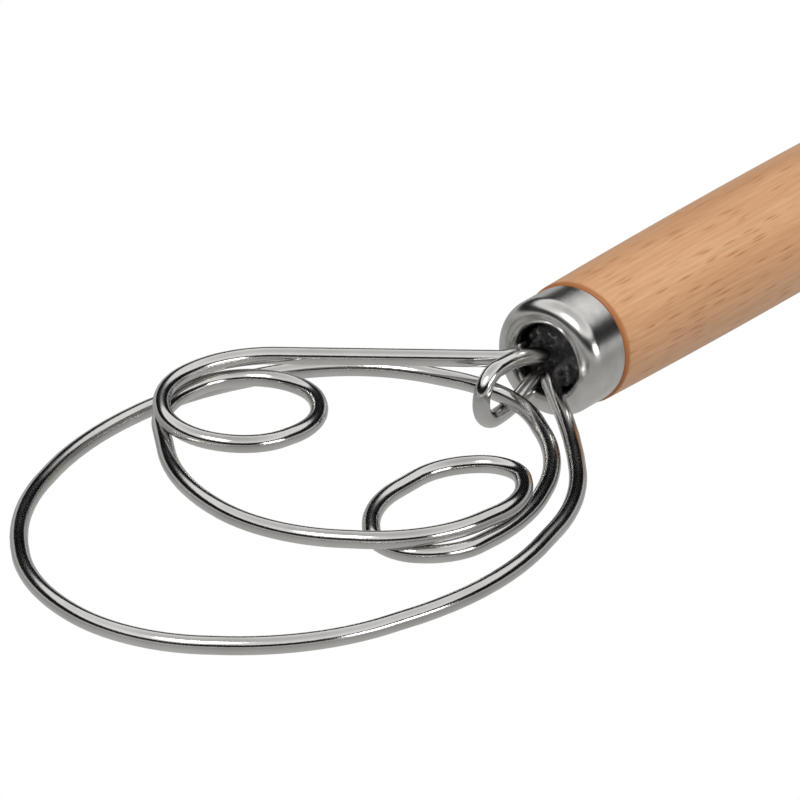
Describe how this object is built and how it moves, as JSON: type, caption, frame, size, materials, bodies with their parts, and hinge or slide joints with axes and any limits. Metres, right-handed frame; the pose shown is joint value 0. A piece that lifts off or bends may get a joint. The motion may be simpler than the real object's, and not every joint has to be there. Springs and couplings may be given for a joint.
{
  "type": "dough whisk",
  "caption": "Dough whisk with a turned wooden handle, steel ferrule and flat looped wire head with two coils.",
  "frame": {"origin": "centre of the hanging hole near the end of the handle, on the handle's axis", "axes": "X along the handle, the wire head towards -X; the head's loops lie in the XY plane; Z through the hanging hole"},
  "size_m": [0.3389, 0.0912, 0.025],
  "materials": {
    "beech": "satin",
    "ferrule_steel": "polished",
    "wire_steel": "polished",
    "weld_metal": "gloss",
    "glue": "matte"
  },
  "bodies": {
    "root": {"handle": "beech", "ferrule": "ferrule_steel", "whisk_wire": "wire_steel", "retaining_eye": "wire_steel", "weld_bead": "weld_metal", "glue_fill": "glue"}
  },
  "joints": []
}
